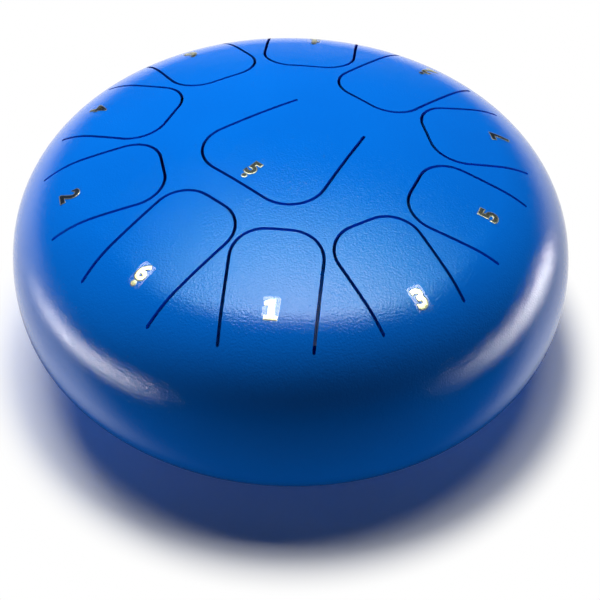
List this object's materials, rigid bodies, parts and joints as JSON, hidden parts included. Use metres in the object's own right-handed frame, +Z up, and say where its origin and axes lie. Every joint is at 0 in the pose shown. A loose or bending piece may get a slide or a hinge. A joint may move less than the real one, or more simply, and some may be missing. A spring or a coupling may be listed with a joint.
{
  "type": "steel tongue drum",
  "caption": "Round blue steel drum with a shallow dome cut into spring tongues, numbered note stickers, a sound hole underneath and rubber feet.",
  "frame": {"origin": "on the drum axis, at the floor under its feet", "axes": "+Z up the drum axis, -Y towards the tongue of note 1, which faces the player"},
  "size_m": [0.254, 0.254, 0.1179],
  "materials": {
    "blue_coat": "satin powder coat with fine orange peel",
    "sticker_film": "clear film with gold numerals",
    "foot_rubber": "matt black",
    "zinc_steel": "bright zinc",
    "weld_steel": "raw weld bead"
  },
  "bodies": {
    "drum": {"top_shell": "blue_coat", "bottom_shell": "blue_coat", "seam_weld": "weld_steel", "foot_front": "foot_rubber", "foot_rear_right": "foot_rubber", "foot_rear_left": "foot_rubber", "foot_screws": "zinc_steel", "foot_washers": "zinc_steel", "foot_nuts": "zinc_steel"},
    "note_1": {"tongue_1": "blue_coat", "sticker_1": "sticker_film"},
    "note_3": {"tongue_3": "blue_coat", "sticker_3": "sticker_film"},
    "note_5": {"tongue_5": "blue_coat", "sticker_5": "sticker_film"},
    "note_7": {"tongue_7": "blue_coat", "sticker_7": "sticker_film"},
    "note_2_high": {"tongue_2_high": "blue_coat", "sticker_2_high": "sticker_film"},
    "note_1_high": {"tongue_1_high": "blue_coat", "sticker_1_high": "sticker_film"},
    "note_6": {"tongue_6": "blue_coat", "sticker_6": "sticker_film"},
    "note_4": {"tongue_4": "blue_coat", "sticker_4": "sticker_film"},
    "note_2": {"tongue_2": "blue_coat", "sticker_2": "sticker_film"},
    "note_6_low": {"tongue_6_low": "blue_coat", "sticker_6_low": "sticker_film"},
    "note_5_low": {"tongue_5_low": "blue_coat", "sticker_5_low": "sticker_film"}
  },
  "joints": [
    {"name": "tongue_1_flex", "type": "hinge", "parent": "drum", "child": "note_1", "pos_m": [0, -0.1054, 0.09834], "axis": [-1, 0, 0], "range_deg": [-0.5, 0.5], "stiffness_Nm_per_rad": 60},
    {"name": "tongue_3_flex", "type": "hinge", "parent": "drum", "child": "note_3", "pos_m": [0.06038, -0.0831, 0.10007], "axis": [-0.809, -0.5878, 0], "range_deg": [-0.5, 0.5], "stiffness_Nm_per_rad": 60},
    {"name": "tongue_5_flex", "type": "hinge", "parent": "drum", "child": "note_5", "pos_m": [0.09545, -0.03102, 0.10139], "axis": [-0.309, -0.9511, 0], "range_deg": [-0.5, 0.5], "stiffness_Nm_per_rad": 60},
    {"name": "tongue_7_flex", "type": "hinge", "parent": "drum", "child": "note_7", "pos_m": [0.09617, 0.03125, 0.1009], "axis": [0.309, -0.9511, 0], "range_deg": [-0.5, 0.5], "stiffness_Nm_per_rad": 60},
    {"name": "tongue_2_high_flex", "type": "hinge", "parent": "drum", "child": "note_2_high", "pos_m": [0.05981, 0.08232, 0.10055], "axis": [0.809, -0.5878, 0], "range_deg": [-0.5, 0.5], "stiffness_Nm_per_rad": 60},
    {"name": "tongue_1_high_flex", "type": "hinge", "parent": "drum", "child": "note_1_high", "pos_m": [0, 0.10272, 0.09996], "axis": [1, 0, 0], "range_deg": [-0.5, 0.5], "stiffness_Nm_per_rad": 60},
    {"name": "tongue_6_flex", "type": "hinge", "parent": "drum", "child": "note_6", "pos_m": [-0.06082, 0.08371, 0.09955], "axis": [0.809, 0.5878, 0], "range_deg": [-0.5, 0.5], "stiffness_Nm_per_rad": 60},
    {"name": "tongue_4_flex", "type": "hinge", "parent": "drum", "child": "note_4", "pos_m": [-0.09891, 0.03214, 0.09917], "axis": [0.309, 0.9511, 0], "range_deg": [-0.5, 0.5], "stiffness_Nm_per_rad": 60},
    {"name": "tongue_2_flex", "type": "hinge", "parent": "drum", "child": "note_2", "pos_m": [-0.10176, -0.03306, 0.09712], "axis": [-0.309, 0.9511, 0], "range_deg": [-0.5, 0.5], "stiffness_Nm_per_rad": 60},
    {"name": "tongue_6_low_flex", "type": "hinge", "parent": "drum", "child": "note_6_low", "pos_m": [-0.06289, -0.08657, 0.09715], "axis": [-0.809, 0.5878, 0], "range_deg": [-0.5, 0.5], "stiffness_Nm_per_rad": 60},
    {"name": "tongue_5_low_flex", "type": "hinge", "parent": "drum", "child": "note_5_low", "pos_m": [0.01411, 0.01942, 0.11619], "axis": [0.809, -0.5878, 0], "range_deg": [-0.5, 0.5], "stiffness_Nm_per_rad": 60}
  ]
}
